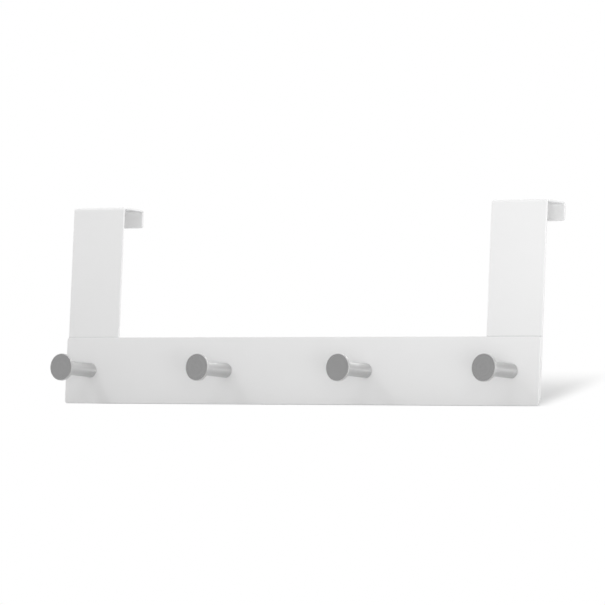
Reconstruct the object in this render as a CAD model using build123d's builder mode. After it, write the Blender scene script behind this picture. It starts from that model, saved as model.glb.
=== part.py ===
from build123d import *

import os
from math import radians, tan

# Over door hook rack: a flat steel bar with a row of turned pegs, hung from a door by two bent straps.
# Millimetres. X runs along the bar, -Y is the front, +Z is up.
# The origin is midway between the straps, on the edge where the door's face meets its top.

# Front bar
bar_length = 400.0
bar_height = 47.0
bar_thickness = 1.5
bar_corner_radius = 2.0
bar_edge_chamfer = 0.3

# Straps
strap_width = 44.5
strap_thickness = 1.5
strap_bend_radius = 1.0
strap_rise = 93.0
strap_foot_margin = 3.0
strap_corner_radius = 2.0
strap_edge_chamfer = 0.3
door_gap = 21.0
lip_height = 13.0

# Spot welds that join each strap to the bar, seen as dimples on the strap's back
weld_spot_count = 2
weld_spot_diameter = 5.0
weld_spot_depth = 0.2
weld_spot_inset = 9.0

# Pegs
peg_count = 4
peg_length = 35.0
peg_shaft_diameter = 10.0
peg_head_diameter = 19.0
peg_rim_thickness = 2.2
peg_rim_chamfer = 0.3
peg_neck_length = 2.5
peg_neck_rise = 2.0
peg_base_chamfer = 0.3
drill_point_angle = 118.0

# Countersunk screws that hold the pegs from behind
screw_diameter = 4.0
screw_length = 10.0
screw_head_diameter = 7.5
screw_head_land = 0.3
screw_sink_angle = 90.0
screw_head_inset = 0.1
screw_head_proud = 0.7
screw_recess_span = 3.6
screw_recess_slot = 0.9
screw_recess_depth = 1.0
screw_tip_chamfer = 0.5
screw_hole_clearance = 0.15
thread_clearance = 0.05
thread_runout = 2.0

# Broken edges stay within the sheet or step that they are on
edge_share = 0.4
bar_edge = min(bar_edge_chamfer, edge_share * bar_thickness)
strap_edge = min(strap_edge_chamfer, edge_share * strap_thickness)
rim_edge = min(peg_rim_chamfer, edge_share * peg_rim_thickness)
head_step = (peg_head_diameter - peg_shaft_diameter) / 2
neck_rise = min(peg_neck_rise, head_step - 2 * rim_edge)

# Heights and depths of the sheet pieces
strap_back = 0.0
bar_back = strap_back - strap_thickness
bar_front = bar_back - bar_thickness
strap_top = strap_thickness
bar_top = strap_top - strap_rise
bar_middle = bar_top - bar_height / 2
strap_foot = bar_top - bar_height + strap_foot_margin
lip_front = strap_back + door_gap
lip_foot = strap_top - lip_height

# The outer pegs stand on the straps' centre lines, and the others are spaced evenly between them
strap_centre = (bar_length - strap_width) / 2
peg_pitch = 2 * strap_centre / (peg_count - 1)
peg_places = [index * peg_pitch - strap_centre for index in range(peg_count)]

# A screw through a strap ends just below the strap's back, and one through the bar alone stands proud of the bar
strap_screw_face = strap_back - screw_head_inset
bar_screw_face = bar_back + screw_head_proud
inner_screws = [bar_screw_face] * (peg_count - 2)
screw_faces = [strap_screw_face, *inner_screws, strap_screw_face]

# Screw holes and threaded holes follow the screws
screw_hole_radius = screw_diameter / 2 + screw_hole_clearance
sink_slope = tan(radians(screw_sink_angle / 2))
head_cone_depth = (screw_head_diameter - screw_diameter) / 2 / sink_slope
bore_radius = screw_diameter / 2 + thread_clearance
bore_depth = bar_front - (min(screw_faces) - screw_length) + thread_runout
bore_point = bore_radius / tan(radians(drill_point_angle / 2))


def sink_radius(depth):
    """Radius of the screw heads' cone at a depth below the flat of the head."""
    return screw_head_diameter / 2 + (screw_head_land - depth) * sink_slope


def back_plane(x, y, z):
    """Plane at a point that faces the door."""
    return Plane(origin=(x, y, z), x_dir=(-1, 0, 0), z_dir=(0, 1, 0))


def turning_plane(x, y):
    """Plane through a peg's axis: its x is the radius, and its y runs towards the front."""
    return Plane(origin=(x, y, bar_middle), x_dir=(1, 0, 0), z_dir=(0, 0, -1))


def peg_axis(x):
    """Axis of the peg at x, pointing to the front."""
    return Axis((x, bar_front, bar_middle), (0, -1, 0))


def screw_hole(x, y, screw_face, sheet_thickness):
    """Cuts a countersunk hole from a sheet's back at y, for a screw with its head at screw_face."""
    with Locations(back_plane(x, y, bar_middle)):
        CounterSinkHole(
            screw_hole_radius,
            sink_radius(screw_face - y),
            depth=sheet_thickness,
            counter_sink_angle=screw_sink_angle,
        )


os.makedirs("parts", exist_ok=True)

# Front bar: one flat plate with small round corners and broken edges
with BuildPart() as front_bar:
    with BuildSketch(back_plane(0, bar_front, bar_middle)):
        RectangleRounded(bar_length, bar_height, bar_corner_radius)
    extrude(amount=bar_thickness)
    chamfer(front_bar.faces().filter_by(Axis.Y).edges(), bar_edge)
    for x, screw_face in zip(peg_places, screw_faces):
        screw_hole(x, bar_back, screw_face, bar_thickness)
front_bar.part.label = "front_bar"
export_step(front_bar.part, "parts/front_bar.step")

# Straps: one strip each, bent over the door's top edge and down behind it
for name, centre in (("left_strap", -strap_centre), ("right_strap", strap_centre)):
    with BuildPart() as strap:
        with BuildSketch(Plane.YZ.offset(centre)):
            with BuildLine():
                inside = FilletPolyline(
                    (strap_back, strap_foot),
                    (strap_back, 0),
                    (lip_front, 0),
                    (lip_front, lip_foot),
                    radius=strap_bend_radius,
                )
                offset(inside, amount=strap_thickness, side=Side.LEFT)
            make_face()
        extrude(amount=strap_width / 2, both=True)
        end_edges = strap.edges().filter_by(Axis.Y).group_by(Axis.Z)
        fillet(end_edges[0] + end_edges[1], strap_corner_radius)
        chamfer(strap.faces().filter_by(Axis.X).edges(), strap_edge)
        screw_hole(centre, strap_back, strap_screw_face, strap_thickness)
        with Locations(back_plane(centre, strap_back, bar_top - weld_spot_inset)):
            with GridLocations(strap_width - 2 * weld_spot_inset, 0, weld_spot_count, 1):
                Hole(weld_spot_diameter / 2, depth=weld_spot_depth)
    strap.part.label = name
    export_step(strap.part, f"parts/{name}.step")

# Pegs: each one turned from bar, with a tapered neck under a flat head and a threaded hole in its base
base_corner = (peg_shaft_diameter / 2, 0)
head_back = peg_length - peg_rim_thickness
rim_corners = [
    (peg_head_diameter / 2, head_back),
    (peg_head_diameter / 2, peg_length),
]
for number, x in enumerate(peg_places, start=1):
    with BuildPart() as peg:
        with BuildSketch(turning_plane(x, bar_front)) as section:
            with BuildLine():
                Polyline(
                    (bore_radius, 0),
                    base_corner,
                    (peg_shaft_diameter / 2, head_back - peg_neck_length),
                    (peg_shaft_diameter / 2 + neck_rise, head_back),
                    *rim_corners,
                    (0, peg_length),
                    (0, bore_depth + bore_point),
                    (bore_radius, bore_depth),
                    close=True,
                )
            make_face()
            chamfer(section.vertices().sort_by_distance(base_corner)[0], peg_base_chamfer)
            for corner in rim_corners:
                chamfer(section.vertices().sort_by_distance(corner)[0], rim_edge)
        revolve(axis=peg_axis(x))
    name = f"peg_{number}"
    peg.part.label = name
    export_step(peg.part, f"parts/{name}.step")

# Screws: the same countersunk screw behind each peg, with a cross recess in its head
with BuildPart() as peg_screws:
    for x, screw_face in zip(peg_places, screw_faces):
        with BuildSketch(turning_plane(x, screw_face)):
            with BuildLine():
                Polyline(
                    (0, 0),
                    (screw_head_diameter / 2, 0),
                    (screw_head_diameter / 2, screw_head_land),
                    (screw_diameter / 2, screw_head_land + head_cone_depth),
                    (screw_diameter / 2, screw_length - screw_tip_chamfer),
                    (screw_diameter / 2 - screw_tip_chamfer, screw_length),
                    (0, screw_length),
                    close=True,
                )
            make_face()
        revolve(axis=peg_axis(x))
        with BuildSketch(back_plane(x, screw_face, bar_middle)):
            Rectangle(screw_recess_span, screw_recess_slot)
            Rectangle(screw_recess_slot, screw_recess_span)
        extrude(amount=-screw_recess_depth, mode=Mode.SUBTRACT)
peg_screws.part.label = "peg_screws"
export_step(peg_screws.part, "parts/peg_screws.step")
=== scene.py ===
"""Looks of the over door hook rack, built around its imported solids.

The bar and the two straps keep their solids and get a white powder coat. The pegs and the screws behind them
are turned again by node trees, with softer edges and turning marks, and stand for their solids.
The frame is the solids' own, in metres: X along the bar, -Y to the front, +Z up.
"""

import logging
from collections.abc import Mapping, Sequence
from dataclasses import dataclass
from enum import Enum
from math import pi, radians
from typing import Union

import bpy
from mathutils import Matrix, Vector


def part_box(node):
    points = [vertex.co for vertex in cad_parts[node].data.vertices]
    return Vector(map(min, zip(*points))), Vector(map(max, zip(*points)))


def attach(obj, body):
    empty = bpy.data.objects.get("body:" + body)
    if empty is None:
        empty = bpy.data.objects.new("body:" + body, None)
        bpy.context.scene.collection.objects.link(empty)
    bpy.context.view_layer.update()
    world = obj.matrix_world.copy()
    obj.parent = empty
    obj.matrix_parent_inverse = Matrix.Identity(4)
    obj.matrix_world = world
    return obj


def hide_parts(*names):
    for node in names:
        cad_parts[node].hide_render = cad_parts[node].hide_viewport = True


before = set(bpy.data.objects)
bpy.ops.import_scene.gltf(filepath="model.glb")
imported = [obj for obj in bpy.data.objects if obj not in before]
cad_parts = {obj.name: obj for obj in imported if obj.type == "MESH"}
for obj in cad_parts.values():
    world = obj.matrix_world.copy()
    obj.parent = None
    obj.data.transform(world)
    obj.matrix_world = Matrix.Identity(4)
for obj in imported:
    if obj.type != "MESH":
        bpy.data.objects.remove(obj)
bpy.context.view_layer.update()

LOG = logging.getLogger("rack")
MM = 0.001
BODY = "root"

# The picture's side in pixels, and the sensor that the lens is worked out for
IMAGE_SIDE = 605.0
SENSOR_WIDTH = 36.0

# How finely the turned pieces are cut, and the angle above which their edges look sharp
ROUND_CUTS = 6
AXIS_RADIUS = 1e-7
MERGE_DISTANCE = 2e-6
SHARP_DEGREES = 40.0

# Numbers that the turned meshes carry for their finish
TURN_MARK = "turn_mark"
TURN_SCORE = "turn_score"
TURN_SEED = "turn_seed"

# The mean of a noise, and the slice of it that the grains are taken from
NOISE_MEAN = 0.5
NOISE_SLICE = 0.0

WHITE = (1.0, 1.0, 1.0, 1.0)

Colour = tuple[float, float, float]
Point = tuple[float, float, float]
Operand = Union["Field", float, int]
SocketValue = Union["Field", float, int, bool, str, Sequence[float], Sequence["Field"], bpy.types.Material]


class Slot(Enum):
    """The names of the record's material slots for the turned pieces; nothing in this script reads them."""

    PEG = "peg_steel"
    SCREW = "screw_steel"


class SheetNode(Enum):
    """The solids that are bent or cut from sheet and keep their own shape."""

    BAR = "front_bar"
    LEFT_STRAP = "left_strap"
    RIGHT_STRAP = "right_strap"


class PegNode(Enum):
    """The solids of the pegs, from the left."""

    FIRST = "peg_1"
    SECOND = "peg_2"
    THIRD = "peg_3"
    FOURTH = "peg_4"


class Field:
    """A node's output that takes part in Python expressions."""

    def __init__(self, graph: "NodeGraph", socket: bpy.types.NodeSocket) -> None:
        """Wraps one output socket of a graph."""
        self.graph = graph
        self.socket = socket

    def math(self, operation: str, *values: Operand) -> "Field":
        """Adds one Math node.

        Args:
            operation: The node's operation.
            values: Its inputs in order.

        Returns:
            The node's result.
        """
        return self.graph.add("ShaderNodeMath", {"operation": operation}, dict(enumerate(values)))

    def __add__(self, other: Operand) -> "Field":
        """This plus the other."""
        return self.math("ADD", self, other)

    def __radd__(self, other: Operand) -> "Field":
        """The other plus this."""
        return self.math("ADD", other, self)

    def __sub__(self, other: Operand) -> "Field":
        """This less the other."""
        return self.math("SUBTRACT", self, other)

    def __rsub__(self, other: Operand) -> "Field":
        """The other less this."""
        return self.math("SUBTRACT", other, self)

    def __mul__(self, other: Operand) -> "Field":
        """This times the other."""
        return self.math("MULTIPLY", self, other)

    def __rmul__(self, other: Operand) -> "Field":
        """The other times this."""
        return self.math("MULTIPLY", other, self)

    def root(self) -> "Field":
        """The square root of this."""
        return self.math("SQRT", self)

    def above(self, other: Operand) -> "Field":
        """1 where this is above the other, and 0 elsewhere."""
        return self.math("GREATER_THAN", self, other)

    def highest(self, other: Operand) -> "Field":
        """The larger of this and the other."""
        return self.math("MAXIMUM", self, other)


class NodeGraph:
    """A node tree that is written as expressions."""

    def __init__(self, tree: bpy.types.NodeTree) -> None:
        """Wraps a tree and takes out the nodes that it came with."""
        self.tree = tree
        tree.nodes.clear()

    def add(
        self,
        kind: str,
        settings: Mapping[str, object] | None = None,
        sockets: Mapping[str | int, SocketValue] | None = None,
        output: str | int = 0,
    ) -> Field | None:
        """Adds one node.

        Args:
            kind: The node's type.
            settings: What is set on the node first: its properties, or a switch's number of items.
            sockets: Values or fields for its inputs, by name or place.
            output: The output to return, by name or place.

        Returns:
            That output, or None where the node has no outputs.
        """
        node = self.tree.nodes.new(kind)
        for name, value in (settings or {}).items():
            if name == "items":
                self._lengthen(node, int(value))
            else:
                setattr(node, name, value)
        for key, value in (sockets or {}).items():
            self._feed(self._find(node.inputs, key), value)
        if not node.outputs:
            return None
        return Field(self, self._find(node.outputs, output))

    def _feed(self, socket: bpy.types.NodeSocket, value: SocketValue) -> None:
        """Links a field, or several, to an input, or sets the input to a plain value.

        Args:
            socket: The input.
            value: A field, a list of fields, or the plain value.
        """
        fields = value if isinstance(value, list) else [value]
        if isinstance(fields[0], Field):
            for one in fields:
                self.tree.links.new(one.socket, socket)
        else:
            socket.default_value = value

    @staticmethod
    def _lengthen(node: bpy.types.Node, count: int) -> None:
        """Gives an Index Switch node that many items."""
        while len(node.index_switch_items) < count:
            node.index_switch_items.new()

    @staticmethod
    def _find(sockets: bpy.types.bpy_prop_collection, key: str | int) -> bpy.types.NodeSocket:
        """Finds one of a node's sockets.

        Args:
            sockets: The node's inputs or outputs.
            key: The socket's place or name.

        Returns:
            The socket at that place, or the enabled one of that name.
        """
        if isinstance(key, int):
            return sockets[key]
        return next(socket for socket in sockets if socket.name == key and socket.enabled)


class SurfaceGraph(NodeGraph):
    """A material's nodes, with the textures that the finishes share."""

    def __init__(self, name: str) -> None:
        """Makes an empty material.

        Args:
            name: The material's name.
        """
        self.material = bpy.data.materials.new(name)
        self.material.use_nodes = True
        super().__init__(self.material.node_tree)

    def place(self) -> Field:
        """Object coordinates, which are the rack's own frame."""
        return self.add("ShaderNodeTexCoord", output="Object")

    def attribute(self, name: str) -> Field:
        """A number stored on the mesh."""
        return self.add("ShaderNodeAttribute", {"attribute_name": name}, output="Fac")

    def grain(self, size: float, detail: float) -> Field:
        """Noise in space.

        Args:
            size: The size of one grain, in metres.
            detail: How many finer octaves it has.

        Returns:
            The noise, from 0 to 1.
        """
        sockets = {"Vector": self.place(), "W": NOISE_SLICE, "Scale": 1.0 / size, "Detail": detail}
        return self.add("ShaderNodeTexNoise", {"noise_dimensions": "4D"}, sockets)

    def marks(self, along: Field, pitch: float, detail: float) -> Field:
        """Noise along one number, as a lathe's tool leaves it.

        Args:
            along: The number, in metres.
            pitch: The width of one mark, in metres.
            detail: How many finer octaves it has.

        Returns:
            The noise, from 0 to 1.
        """
        sockets = {"W": along, "Scale": 1.0 / pitch, "Detail": detail}
        return self.add("ShaderNodeTexNoise", {"noise_dimensions": "1D"}, sockets)

    def axis(self, name: str) -> Field:
        """One of the Object coordinates."""
        return self.add("ShaderNodeSeparateXYZ", sockets={"Vector": self.place()}, output=name)

    def blend(self, share: Field, low: Colour | Field, high: Colour | Field) -> Field:
        """Mixes two colours.

        Args:
            share: How much of the second one there is, from 0 to 1.
            low: The first colour.
            high: The second colour.

        Returns:
            The colour between them.
        """
        ends = [end if isinstance(end, Field) else (*end, 1.0) for end in (low, high)]
        sockets = {"Factor": share, "A": ends[0], "B": ends[1]}
        return self.add("ShaderNodeMix", {"data_type": "RGBA"}, sockets, "Result")

    def relief(self, height: Field, depth: float, strength: float) -> Field:
        """A normal bent by a height.

        Args:
            height: The height, from 0 to 1.
            depth: How deep a height of 1 is, in metres.
            strength: How much of it shows.

        Returns:
            The bent normal.
        """
        return self.add("ShaderNodeBump", sockets={"Strength": strength, "Distance": depth, "Height": height})

    def surface(self, shader: Field) -> bpy.types.Material:
        """Ends the graph in a shader and returns the material."""
        self.add("ShaderNodeOutputMaterial", sockets={"Surface": shader})
        return self.material


@dataclass(frozen=True)
class Corner:
    """One corner of a turned profile, with its rounding and the depth of the tool's marks, from 0 to 1."""

    radius: Operand
    ahead: Operand
    rounding: Operand = 0.0
    score: float = 1.0


class ShapeGraph(NodeGraph):
    """A geometry node tree with named inputs, and the mesh that it makes."""

    def __init__(self, name: str) -> None:
        """Makes an empty tree with one geometry output.

        Args:
            name: The tree's name.
        """
        super().__init__(bpy.data.node_groups.new(name, "GeometryNodeTree"))
        self.tree.interface.new_socket("Geometry", in_out="OUTPUT", socket_type="NodeSocketGeometry")
        self.inputs = self.add("NodeGroupInput").socket.node
        self.values: dict[str, object] = {}

    def named(self, name: str, value: object, kind: str = "NodeSocketFloat") -> Field:
        """Adds a named input.

        Args:
            name: The input's name.
            value: What the modifier sets it to.
            kind: The type of its socket.

        Returns:
            The input as a field.
        """
        item = self.tree.interface.new_socket(name, in_out="INPUT", socket_type=kind)
        self.values[item.identifier] = value
        return Field(self, next(s for s in self.inputs.outputs if s.identifier == item.identifier))

    def pick(self, kind: str, choices: Sequence[SocketValue]) -> Field:
        """One of several values, by a point's index.

        Args:
            kind: The type of the values.
            choices: The values in order.

        Returns:
            The value at each point.
        """
        sockets = {str(place): value for place, value in enumerate(choices)}
        sockets["Index"] = self.add("GeometryNodeInputIndex")
        return self.add("GeometryNodeIndexSwitch", {"data_type": kind, "items": len(choices)}, sockets)

    def spot(self, x: Operand, y: Operand, z: Operand) -> Field:
        """A point from its three numbers."""
        return self.add("ShaderNodeCombineXYZ", sockets={"X": x, "Y": y, "Z": z})

    def turn(self, corners: Sequence[Corner], cuts: Field) -> Field:
        """Turns a profile about its axis, as on a lathe.

        Args:
            corners: The profile's corners, from the axis back to the axis.
            cuts: How many flats the turned surface has.

        Returns:
            The closed mesh, which carries the length along the profile and the depth of the tool's marks.
        """
        spots = self.pick("VECTOR", [self.spot(corner.radius, corner.ahead, 0.0) for corner in corners])
        line = self.add("GeometryNodeMeshLine", sockets={"Count": len(corners)})
        bent = self.add("GeometryNodeSetPosition", sockets={"Geometry": line, "Position": spots})
        scored = self.store(bent, TURN_SCORE, self.pick("FLOAT", [corner.score for corner in corners]))
        outline = self.add("GeometryNodeMeshToCurve", sockets={"Mesh": scored})
        sockets = {
            "Curve": outline,
            "Count": ROUND_CUTS,
            "Radius": self.pick("FLOAT", [corner.rounding for corner in corners]),
            "Limit Radius": True,
        }
        rounded = self.add("GeometryNodeFilletCurve", {"mode": "POLY"}, sockets)
        along = self.add("GeometryNodeSplineParameter", output="Length")
        marked = self.store(rounded, TURN_MARK, along)
        sockets = {"Resolution": cuts, "Radius": AXIS_RADIUS}
        path = self.add("GeometryNodeCurvePrimitiveCircle", sockets=sockets)
        swept = self.add("GeometryNodeCurveToMesh", sockets={"Curve": path, "Profile Curve": marked})
        sockets = {"Geometry": swept, "Distance": MERGE_DISTANCE}
        return self.add("GeometryNodeMergeByDistance", sockets=sockets)

    def store(self, geometry: Field, name: str, value: Field, domain: str = "POINT") -> Field:
        """Keeps a number on the geometry under a name."""
        sockets = {"Geometry": geometry, "Name": name, "Value": value}
        return self.add("GeometryNodeStoreNamedAttribute", {"domain": domain}, sockets)

    def to_front(self, geometry: Field) -> Field:
        """Lays a turned piece down, so that its profile runs to the front."""
        sockets = {"Geometry": geometry, "Rotation": (-pi / 2, 0.0, 0.0)}
        return self.add("GeometryNodeTransform", sockets=sockets)

    def soften(self, geometry: Field) -> Field:
        """Shades a mesh smooth, apart from its sharp edges.

        Args:
            geometry: The mesh.

        Returns:
            The shaded mesh.
        """
        smooth = self.add("GeometryNodeSetShadeSmooth", sockets={"Geometry": geometry, "Shade Smooth": True})
        angle = self.add("GeometryNodeInputMeshEdgeAngle", output="Unsigned Angle")
        sharp = self.add("FunctionNodeCompare", sockets={"A": angle, "B": radians(SHARP_DEGREES)})
        sockets = {"Geometry": smooth, "Selection": sharp, "Shade Smooth": False}
        return self.add("GeometryNodeSetShadeSmooth", {"domain": "EDGE"}, sockets)

    def make(self, name: str, instances: Field, material: bpy.types.Material) -> bpy.types.Object:
        """Ends the tree and turns its result into a plain mesh.

        Args:
            name: The object's name.
            instances: The tree's last geometry.
            material: What the mesh is made of.

        Returns:
            An object at the origin that holds the mesh, with no modifier left.
        """
        finish = self.named("Finish", material, "NodeSocketMaterial")
        real = self.add("GeometryNodeRealizeInstances", sockets={"Geometry": instances})
        dressed = self.add("GeometryNodeSetMaterial", sockets={"Geometry": real, "Material": finish})
        self.add("NodeGroupOutput", sockets={"Geometry": dressed})
        piece = bpy.data.objects.new(name, bpy.data.meshes.new(name))
        bpy.context.scene.collection.objects.link(piece)
        modifier = piece.modifiers.new(name, "NODES")
        modifier.node_group = self.tree
        for identifier, value in self.values.items():
            modifier[identifier] = value
        depsgraph = bpy.context.evaluated_depsgraph_get()
        mesh = bpy.data.meshes.new_from_object(
            piece.evaluated_get(depsgraph), preserve_all_data_layers=True, depsgraph=depsgraph
        )
        piece.modifiers.clear()
        piece.data = mesh
        return piece


@dataclass(frozen=True)
class PowderCoat:
    """Satin white powder coat, with the fine peel that it cures to, and painted shade: a dark line on the
    straps just above the bar's top edge, where the joint's shadow falls.
    """

    low: Colour = (0.785, 0.785, 0.785)
    high: Colour = (0.815, 0.815, 0.815)
    roughness: float = 0.46
    roughness_spread: float = 0.10
    cloud_size: float = 55 * MM
    cloud_detail: float = 2.0
    peel_size: float = 1.3 * MM
    peel_detail: float = 1.0
    grit_size: float = 0.32 * MM
    grit_detail: float = 2.0
    peel_share: float = 0.65
    relief_depth: float = 0.035 * MM
    relief_strength: float = 0.35
    # Painted shade: the colour and height of the dark line painted on the straps above the bar's top edge,
    # where the joint's shadow falls
    seam: Colour = (0.45, 0.45, 0.45)
    seam_width: float = 0.6 * MM

    def material(self, name: str, top: float, front: float) -> bpy.types.Material:
        """Makes the coat.

        Args:
            name: The material's name.
            top: The height of the bar's top edge, above which the shade line is painted.
            front: A depth between the straps' front and their back, behind which no shade is painted.

        Returns:
            The material.
        """
        graph = SurfaceGraph(name)
        rise = graph.axis("Z")
        sockets = {
            "Value": rise,
            "From Min": top,
            "From Max": top + self.seam_width,
            "To Min": 1.0,
            "To Max": 0.0,
        }
        near = graph.add("ShaderNodeMapRange", sockets=sockets)
        # Painted shade: a band on the straps' fronts just above the bar's top edge, darkest at the edge and
        # fading upward
        seam = near * rise.above(top) * (1.0 - graph.axis("Y").above(front))
        cloud = graph.grain(self.cloud_size, self.cloud_detail)
        peel = graph.grain(self.peel_size, self.peel_detail)
        grit = graph.grain(self.grit_size, self.grit_detail)
        height = peel * self.peel_share + grit * (1.0 - self.peel_share)
        # The painted shade line is mixed over the coat's own tone
        sockets = {
            "Base Color": graph.blend(seam, graph.blend(cloud, self.low, self.high), self.seam),
            "Roughness": self.roughness + (grit - NOISE_MEAN) * self.roughness_spread,
            "Normal": graph.relief(height, self.relief_depth, self.relief_strength),
        }
        return graph.surface(graph.add("ShaderNodeBsdfPrincipled", sockets=sockets))


@dataclass(frozen=True)
class TurnedSteel:
    """Bare steel as it leaves the lathe, with fine marks round the axis and a faint cloudiness."""

    low: Colour = (0.52, 0.52, 0.52)
    high: Colour = (0.61, 0.61, 0.61)
    roughness: float = 0.26
    roughness_spread: float = 0.04
    score_roughness: float = 0.11
    mark_pitch: float = 0.08 * MM
    mark_detail: float = 0.0
    mark_share: float = 0.3
    band_pitch: float = 1.1 * MM
    band_detail: float = 1.0
    band_share: float = 0.3
    cloud_size: float = 5.0 * MM
    cloud_detail: float = 2.0
    relief_depth: float = 0.13 * MM
    relief_strength: float = 1.0
    seed_shift: float = 0.37

    def material(self, name: str) -> bpy.types.Material:
        """Makes the steel.

        Args:
            name: The material's name.

        Returns:
            The material, which reads the numbers that the turned mesh carries.
        """
        graph = SurfaceGraph(name)
        along = graph.attribute(TURN_MARK) + graph.attribute(TURN_SEED) * self.seed_shift
        marks = graph.marks(along, self.mark_pitch, self.mark_detail)
        bands = graph.marks(along, self.band_pitch, self.band_detail)
        cloud = graph.grain(self.cloud_size, self.cloud_detail)
        cloud_share = 1.0 - self.mark_share - self.band_share
        tone = marks * self.mark_share + bands * self.band_share + cloud * cloud_share
        score = graph.attribute(TURN_SCORE)
        scored = self.roughness + score * self.score_roughness
        sockets = {
            "Base Color": graph.blend(tone, self.low, self.high),
            "Metallic": 1.0,
            "Roughness": scored + (marks - NOISE_MEAN) * self.roughness_spread,
            "Normal": graph.relief(marks * score, self.relief_depth, self.relief_strength),
        }
        return graph.surface(graph.add("ShaderNodeBsdfPrincipled", sockets=sockets))


@dataclass(frozen=True)
class BrightZinc:
    """Bright zinc on the screws, a little blue and a little blotched."""

    low: Colour = (0.55, 0.56, 0.59)
    high: Colour = (0.66, 0.66, 0.67)
    roughness: float = 0.30
    roughness_spread: float = 0.20
    blotch_size: float = 1.6 * MM
    blotch_detail: float = 3.0
    grain_size: float = 0.25 * MM
    grain_detail: float = 1.0
    relief_depth: float = 0.01 * MM
    relief_strength: float = 0.25

    def material(self, name: str) -> bpy.types.Material:
        """Makes the zinc.

        Args:
            name: The material's name.

        Returns:
            The material.
        """
        graph = SurfaceGraph(name)
        blotch = graph.grain(self.blotch_size, self.blotch_detail)
        grain = graph.grain(self.grain_size, self.grain_detail)
        sockets = {
            "Base Color": graph.blend(blotch, self.low, self.high),
            "Metallic": 1.0,
            "Roughness": self.roughness + (blotch - NOISE_MEAN) * self.roughness_spread,
            "Normal": graph.relief(grain, self.relief_depth, self.relief_strength),
        }
        return graph.surface(graph.add("ShaderNodeBsdfPrincipled", sockets=sockets))


def seen_directly(graph: NodeGraph) -> Field:
    """A mask of the rays that show a background: those from the camera, off metal and through glass.

    Args:
        graph: The graph to add it to.

    Returns:
        The mask, 0 or 1.
    """
    camera = graph.add("ShaderNodeLightPath", output="Is Camera Ray")
    glossy = graph.add("ShaderNodeLightPath", output="Is Glossy Ray")
    through = graph.add("ShaderNodeLightPath", output="Is Transmission Ray")
    return camera.highest(glossy).highest(through)


@dataclass(frozen=True)
class PaleFloor:
    """Grey matt studio floor that keeps the rack's real shadow, with painted shadow too: its grey shows only
    in a patch behind the bar, shaped and faded like that shadow, and it ends in a white background.
    """

    # The floor's grey, which shows only near the bar and so paints part of the shadow there
    colour: Colour = (0.64, 0.64, 0.64)
    right_reach: float = 171 * MM
    right_slant: float = 0.2
    left_reach: float = 150 * MM
    fade_start: float = 70 * MM
    fade_end: float = 200 * MM
    front_haste: float = 300.0
    right_haste: float = 5.0
    left_haste: float = 5.0

    def material(self, name: str) -> bpy.types.Material:
        """Makes the floor's paint.

        Args:
            name: The material's name.

        Returns:
            The material.
        """
        graph = SurfaceGraph(name)
        along, across = graph.axis("X"), graph.axis("Y")
        # Painted shadow: the floor's own grey shows only in a patch behind the bar, bounded past the bar's
        # ends and fading to white with distance, in the shape of the rack's shadow; the real shadow falls
        # within it
        right = (along + across * self.right_slant - self.right_reach) * self.right_haste
        left = (along + self.left_reach) * -self.left_haste
        beyond = right.highest(left).highest(0.0)
        depth = across.highest(across * -self.front_haste)
        distance = (beyond * beyond + depth * depth).root()
        sockets = {"Value": distance, "From Min": self.fade_start, "From Max": self.fade_end}
        far = graph.add("ShaderNodeMapRange", {"interpolation_type": "SMOOTHSTEP"}, sockets)
        paint = graph.add("ShaderNodeBsdfDiffuse", sockets={"Color": (*self.colour, 1.0)})
        white = graph.add("ShaderNodeEmission", sockets={"Strength": 1.0})
        sockets = {"Fac": far * seen_directly(graph), 1: paint, 2: white}
        return graph.surface(graph.add("ShaderNodeMixShader", sockets=sockets))


@dataclass
class SheetWork:
    """The bar and the two straps: sheet steel under one coat."""

    finish: PowderCoat
    thickness: float = 1.5 * MM

    def dress(self) -> list[bpy.types.Object]:
        """Coats the solids.

        Returns:
            The coated solids.
        """
        low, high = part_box(SheetNode.BAR.value)
        coat = self.finish.material("white_powder_coat", high.z, (low.y + high.y) / 2 + self.thickness)
        pieces = [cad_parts[node.value] for node in SheetNode]
        for piece in pieces:
            piece.data.materials.clear()
            piece.data.materials.append(coat)
        return pieces


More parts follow.
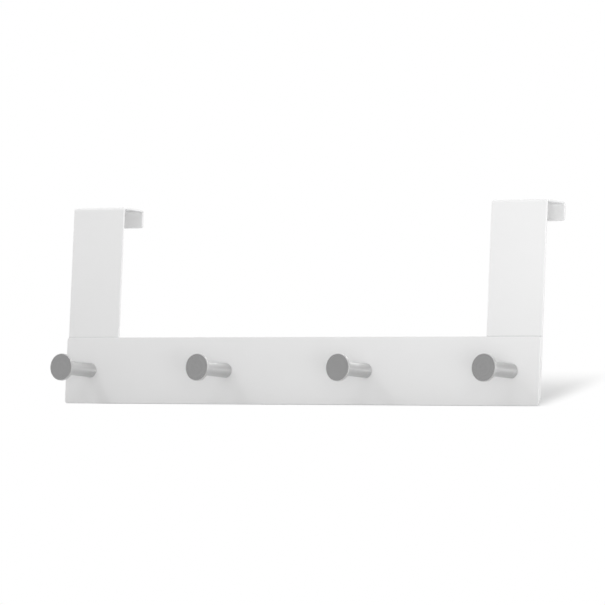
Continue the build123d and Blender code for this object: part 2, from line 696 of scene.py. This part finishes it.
@dataclass
class PegRow:
    """The four turned pegs in a row along the bar."""

    finish: TurnedSteel
    shaft_radius: float = 5.0 * MM
    base_chamfer: float = 0.3 * MM
    base_round: float = 0.1 * MM
    neck_length: float = 2.5 * MM
    neck_rise: float = 2.0 * MM
    neck_start_round: float = 3.0 * MM
    neck_end_round: float = 0.8 * MM
    rim_thickness: float = 2.2 * MM
    rim_round: float = 0.18 * MM
    flat_margin: float = 0.5 * MM
    bore_radius: float = 2.05 * MM
    bore_depth: float = 9.8 * MM
    bore_point: float = 1.23 * MM
    face_score: float = 0.02
    cuts: int = 128
    seed: int = 7

    def build(self) -> bpy.types.Object:
        """Turns one peg and sets it in a row.

        Returns:
            The pegs, as one mesh.
        """
        low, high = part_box(PegNode.FIRST.value)
        last_low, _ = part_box(PegNode.FOURTH.value)
        first = Vector(((low.x + high.x) / 2, high.y, (low.z + high.z) / 2))
        graph = ShapeGraph("peg_row")
        shaft = graph.named("Shaft radius", self.shaft_radius)
        head = graph.named("Head radius", (high.x - low.x) / 2)
        length = graph.named("Length", high.y - low.y)
        rim = graph.named("Rim thickness", self.rim_thickness)
        neck = graph.named("Neck length", self.neck_length)
        rise = graph.named("Neck rise", self.neck_rise)
        base = graph.named("Base chamfer", self.base_chamfer)
        margin = graph.named("Flat margin", self.flat_margin)
        rim_round = graph.named("Rim round", self.rim_round)
        neck_round = graph.named("Neck round", self.neck_start_round)
        count = graph.named("Count", len(PegNode), "NodeSocketInt")
        pitch = graph.named("Pitch", (last_low.x - low.x) / (len(PegNode) - 1))
        cuts = graph.named("Cuts", self.cuts, "NodeSocketInt")
        seed = graph.named("Seed", self.seed, "NodeSocketInt")
        bore = graph.named("Bore radius", self.bore_radius)
        deep = graph.named("Bore depth", self.bore_depth)
        point = graph.named("Bore point", self.bore_point)
        head_back = length - rim
        corners = [
            Corner(0.0, deep + point),
            Corner(bore, deep),
            Corner(bore, 0.0),
            Corner(shaft - base, 0.0, self.base_round),
            Corner(shaft, base, self.base_round),
            Corner(shaft, head_back - neck, neck_round),
            Corner(shaft + rise, head_back, self.neck_end_round),
            Corner(head, head_back, rim_round),
            Corner(head, length, rim_round),
            Corner(head - margin, length, score=self.face_score),
            Corner(0.0, length, score=self.face_score),
        ]
        peg = graph.soften(graph.to_front(graph.turn(corners, cuts)))
        sockets = {"Count": count, "Start Location": tuple(first), "Offset": graph.spot(pitch, 0.0, 0.0)}
        row = graph.add("GeometryNodeMeshLine", sockets=sockets)
        pegs = graph.add("GeometryNodeInstanceOnPoints", sockets={"Points": row, "Instance": peg})
        own = graph.add("FunctionNodeRandomValue", {"data_type": "FLOAT"}, {"Seed": seed}, "Value")
        marked = graph.store(pegs, TURN_SEED, own, "INSTANCE")
        return graph.make("turned_pegs", marked, self.finish.material("turned_peg_steel"))

    def dress(self) -> bpy.types.Object:
        """Builds the pegs and lets them stand for their solids.

        Returns:
            The pegs.
        """
        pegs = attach(self.build(), BODY)
        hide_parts(*[node.value for node in PegNode])
        return pegs


@dataclass
class PegScrews:
    """The countersunk screws that hold the pegs from behind."""

    finish: BrightZinc
    node: str = "peg_screws"
    radius: float = 2.0 * MM
    length: float = 10.0 * MM
    head_radius: float = 3.75 * MM
    head_land: float = 0.3 * MM
    head_depth: float = 2.05 * MM
    head_round: float = 0.12 * MM
    tip_chamfer: float = 0.5 * MM
    recess_span: float = 3.8 * MM
    recess_slot: float = 0.95 * MM
    recess_depth: float = 1.3 * MM
    recess_taper: float = 0.62
    flat_margin: float = 0.35 * MM
    outer_face: float = -0.1 * MM
    inner_face: float = -0.8 * MM
    cuts: int = 64

    def seats(self) -> list[Point]:
        """Finds where the flats of the screws' heads are.

        Returns:
            The middle of each flat, from the left.
        """
        places = []
        for node in PegNode:
            low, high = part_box(node.value)
            places.append(((low.x + high.x) / 2, (low.z + high.z) / 2))
        faces = [self.outer_face, *[self.inner_face] * (len(places) - 2), self.outer_face]
        return [(x, face, z) for (x, z), face in zip(places, faces)]

    def build(self) -> bpy.types.Object:
        """Turns one screw, cuts its recess and sets it behind each peg.

        Returns:
            The screws, as one mesh.
        """
        graph = ShapeGraph("screw_set")
        shank = graph.named("Shank radius", self.radius)
        length = graph.named("Length", self.length)
        head = graph.named("Head radius", self.head_radius)
        land = graph.named("Head land", self.head_land)
        depth = graph.named("Head depth", self.head_depth)
        tip = graph.named("Tip chamfer", self.tip_chamfer)
        cuts = graph.named("Cuts", self.cuts, "NodeSocketInt")
        corners = [
            Corner(0.0, 0.0),
            Corner(head - self.flat_margin, 0.0),
            Corner(head, 0.0, self.head_round),
            Corner(head, land),
            Corner(shank, depth),
            Corner(shank, length - tip),
            Corner(shank - tip, length),
            Corner(0.0, length),
        ]
        blank = graph.turn(corners, cuts)
        wing = self.wing(graph)
        sockets = {"Geometry": wing, "Rotation": (0.0, 0.0, pi / 2)}
        across = graph.add("GeometryNodeTransform", sockets=sockets)
        sockets = {"Mesh 1": blank, "Mesh 2": [wing, across]}
        cut = graph.add("GeometryNodeMeshBoolean", {"operation": "DIFFERENCE", "solver": "EXACT"}, sockets)
        screw = graph.soften(graph.to_front(cut))
        seats = self.seats()
        line = graph.add("GeometryNodeMeshLine", sockets={"Count": len(seats)})
        spots = graph.pick("VECTOR", seats)
        points = graph.add("GeometryNodeSetPosition", sockets={"Geometry": line, "Position": spots})
        screws = graph.add("GeometryNodeInstanceOnPoints", sockets={"Points": points, "Instance": screw})
        return graph.make("countersunk_screws", screws, self.finish.material("bright_zinc"))

    def wing(self, graph: ShapeGraph) -> Field:
        """One wing of the cross recess, narrower at one end, with its middle on the flat of the head.

        Args:
            graph: The graph to add it to.

        Returns:
            The wing, as a closed mesh to cut away.
        """
        span = graph.named("Recess span", self.recess_span)
        slot = graph.named("Recess slot", self.recess_slot)
        deep = graph.named("Recess depth", self.recess_depth)
        block = graph.add("GeometryNodeMeshCube", sockets={"Size": graph.spot(span, slot, deep * 2.0)})
        place = graph.add("GeometryNodeInputPosition")
        height = graph.add("ShaderNodeSeparateXYZ", sockets={"Vector": place}, output="Z")
        below = graph.add("FunctionNodeCompare", {"operation": "LESS_THAN"}, {"A": height, "B": 0.0})
        scale = (self.recess_taper, self.recess_taper, 1.0)
        narrow = graph.add("ShaderNodeVectorMath", {"operation": "MULTIPLY"}, {0: place, 1: scale})
        sockets = {"Geometry": block, "Selection": below, "Position": narrow}
        return graph.add("GeometryNodeSetPosition", sockets=sockets)

    def dress(self) -> bpy.types.Object:
        """Builds the screws and lets them stand for their solids.

        Returns:
            The screws.
        """
        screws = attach(self.build(), BODY)
        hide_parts(self.node)
        return screws


def aimed(place: Point, target: Point, axis: str) -> Matrix:
    """Works out how a thing stands that faces a point.

    Args:
        place: Where it stands.
        target: The point that it faces.
        axis: Which of its own axes points there.

    Returns:
        Its matrix.
    """
    aim = Vector(target) - Vector(place)
    return Matrix.Translation(place) @ aim.to_track_quat(axis, "Y").to_matrix().to_4x4()


def flat_mesh(
    name: str,
    low: tuple[float, float],
    high: tuple[float, float],
    material: bpy.types.Material,
) -> bpy.types.Mesh:
    """Makes a flat rectangle.

    Args:
        name: The mesh's name.
        low: Its lowest corner.
        high: Its highest corner.
        material: What it is made of.

    Returns:
        The rectangle, which faces +Z.
    """
    (left, front), (right, back) = low, high
    corners = [(left, front, 0.0), (right, front, 0.0), (right, back, 0.0), (left, back, 0.0)]
    mesh = bpy.data.meshes.new(name)
    mesh.from_pydata(corners, [], [(0, 1, 2, 3)])
    mesh.materials.append(material)
    return mesh


@dataclass(frozen=True)
class SoftBox:
    """One square studio lamp, aimed at a point."""

    name: str
    place: Point
    target: Point
    size: float
    power: float

    def light(self) -> bpy.types.Object:
        """Hangs the lamp.

        Returns:
            The lamp's object.
        """
        lamp = bpy.data.lights.new(self.name, "AREA")
        lamp.size = self.size
        lamp.energy = self.power
        holder = bpy.data.objects.new(self.name, lamp)
        bpy.context.scene.collection.objects.link(holder)
        holder.matrix_world = aimed(self.place, self.target, "-Z")
        holder.visible_camera = False
        return holder


@dataclass(frozen=True)
class GreyFlat:
    """A sheet beside the set that glows a dim grey instead of being lit, and which only the metal shows, as a
    darker patch in its reflections.
    """

    grey: float = 0.505
    place: Point = (-0.344, -0.528, -0.074)
    target: Point = (0.0, -0.038, -0.115)
    width: float = 1.2
    height: float = 0.9

    def stand(self) -> bpy.types.Object:
        """Stands the card up.

        Returns:
            The card, which isn't part of the rack.
        """
        half, rise = self.width / 2, self.height / 2
        graph = SurfaceGraph("grey_card")
        # The card glows at this strength; nothing lights it
        glow = graph.add("ShaderNodeEmission", sockets={"Color": WHITE, "Strength": self.grey})
        mesh = flat_mesh("grey_flat", (-half, -rise), (half, rise), graph.surface(glow))
        card = bpy.data.objects.new("grey_flat", mesh)
        card.matrix_world = aimed(self.place, self.target, "Z")
        bpy.context.scene.collection.objects.link(card)
        card.visible_camera = False
        card.visible_diffuse = False
        card.visible_shadow = False
        return card


@dataclass
class Studio:
    """The floor, the light and the camera."""

    floor: PaleFloor
    lamps: Sequence[SoftBox]
    flat: GreyFlat
    floor_tilt: float = radians(11.0)
    floor_foot: Point = (0.0, -1.8 * MM, -138.5 * MM)
    floor_half_width: float = 0.7
    floor_front: float = 0.14
    floor_back: float = 0.7
    world_strength: float = 0.625
    camera_place: Point = (2.110957, -3.007046, -0.319001)
    camera_right: Point = (0.8195805, 0.5715297, 0.0405156)
    camera_down: Point = (-0.0059652, 0.0792198, -0.9968393)
    focal_pixels: float = 5309.98
    clip_end: float = 100.0

    def lay_floor(self) -> bpy.types.Object:
        """Lays the floor under the bar, as it lies to the rack in the photograph's view.

        Returns:
            The floor, which isn't part of the rack.
        """
        low = (-self.floor_half_width, -self.floor_front)
        high = (self.floor_half_width, self.floor_back)
        mesh = flat_mesh("floor", low, high, self.floor.material("pale_floor"))
        floor = bpy.data.objects.new("floor", mesh)
        floor.matrix_world = Matrix.Translation(self.floor_foot) @ Matrix.Rotation(self.floor_tilt, 4, "X")
        bpy.context.scene.collection.objects.link(floor)
        return floor

    def set_world(self) -> None:
        """Surrounds the scene with plain light, and with white where the surroundings show."""
        world = bpy.data.worlds.new("studio")
        world.use_nodes = True
        bpy.context.scene.world = world
        graph = NodeGraph(world.node_tree)
        sockets = {"Color": WHITE, "Strength": self.world_strength}
        dim = graph.add("ShaderNodeBackground", sockets=sockets)
        white = graph.add("ShaderNodeBackground", sockets={"Color": WHITE, "Strength": 1.0})
        mixed = graph.add("ShaderNodeMixShader", sockets={"Fac": seen_directly(graph), 1: dim, 2: white})
        graph.add("ShaderNodeOutputWorld", sockets={"Surface": mixed})

    def set_camera(self) -> bpy.types.Object:
        """Sets the camera up as the photograph was taken.

        Returns:
            The camera's object.
        """
        right, down = Vector(self.camera_right), Vector(self.camera_down)
        ahead = right.cross(down)
        turn = Matrix((right, -down, -ahead)).transposed()
        camera = bpy.data.cameras.new("camera")
        camera.sensor_width = SENSOR_WIDTH
        camera.lens = self.focal_pixels * SENSOR_WIDTH / IMAGE_SIDE
        camera.clip_end = self.clip_end
        holder = bpy.data.objects.new("camera", camera)
        holder.matrix_world = Matrix.Translation(self.camera_place) @ turn.to_4x4()
        bpy.context.scene.collection.objects.link(holder)
        bpy.context.scene.camera = holder
        return holder

    def build(self) -> None:
        """Builds the whole studio."""
        self.lay_floor()
        self.flat.stand()
        self.set_world()
        for lamp in self.lamps:
            lamp.light()
        self.set_camera()
        bpy.context.scene.view_settings.view_transform = "Standard"


def main() -> None:
    """Dresses the rack, then sets up the studio."""
    logging.basicConfig(level=logging.INFO, format="%(name)s: %(message)s")
    pieces = SheetWork(PowderCoat()).dress()
    pieces.append(PegRow(TurnedSteel()).dress())
    pieces.append(PegScrews(BrightZinc()).dress())
    for piece in pieces:
        LOG.info("%s has %d faces", piece.name, len(piece.data.polygons))
    middle = (0.0, 0.0, -0.07)
    lamps = [
        SoftBox("right_box", place=(0.85, -0.55, -0.40), target=middle, size=0.5, power=3.4),
        SoftBox("front_box", place=(0.20, -0.55, 0.90), target=middle, size=0.7, power=1.35),
        SoftBox("top_box", place=(0.30, 0.40, 0.88), target=middle, size=0.6, power=4.5),
        SoftBox("side_box", place=(1.20, -0.03, 0.01), target=middle, size=0.10, power=0.8),
        SoftBox("near_box", place=(0.75, -1.05, -0.15), target=middle, size=0.6, power=3.35),
        SoftBox("left_box", place=(-0.63, -0.40, 0.70), target=middle, size=0.3, power=1.6),
    ]
    Studio(PaleFloor(), lamps, GreyFlat()).build()


if __name__ == "__main__":
    main()
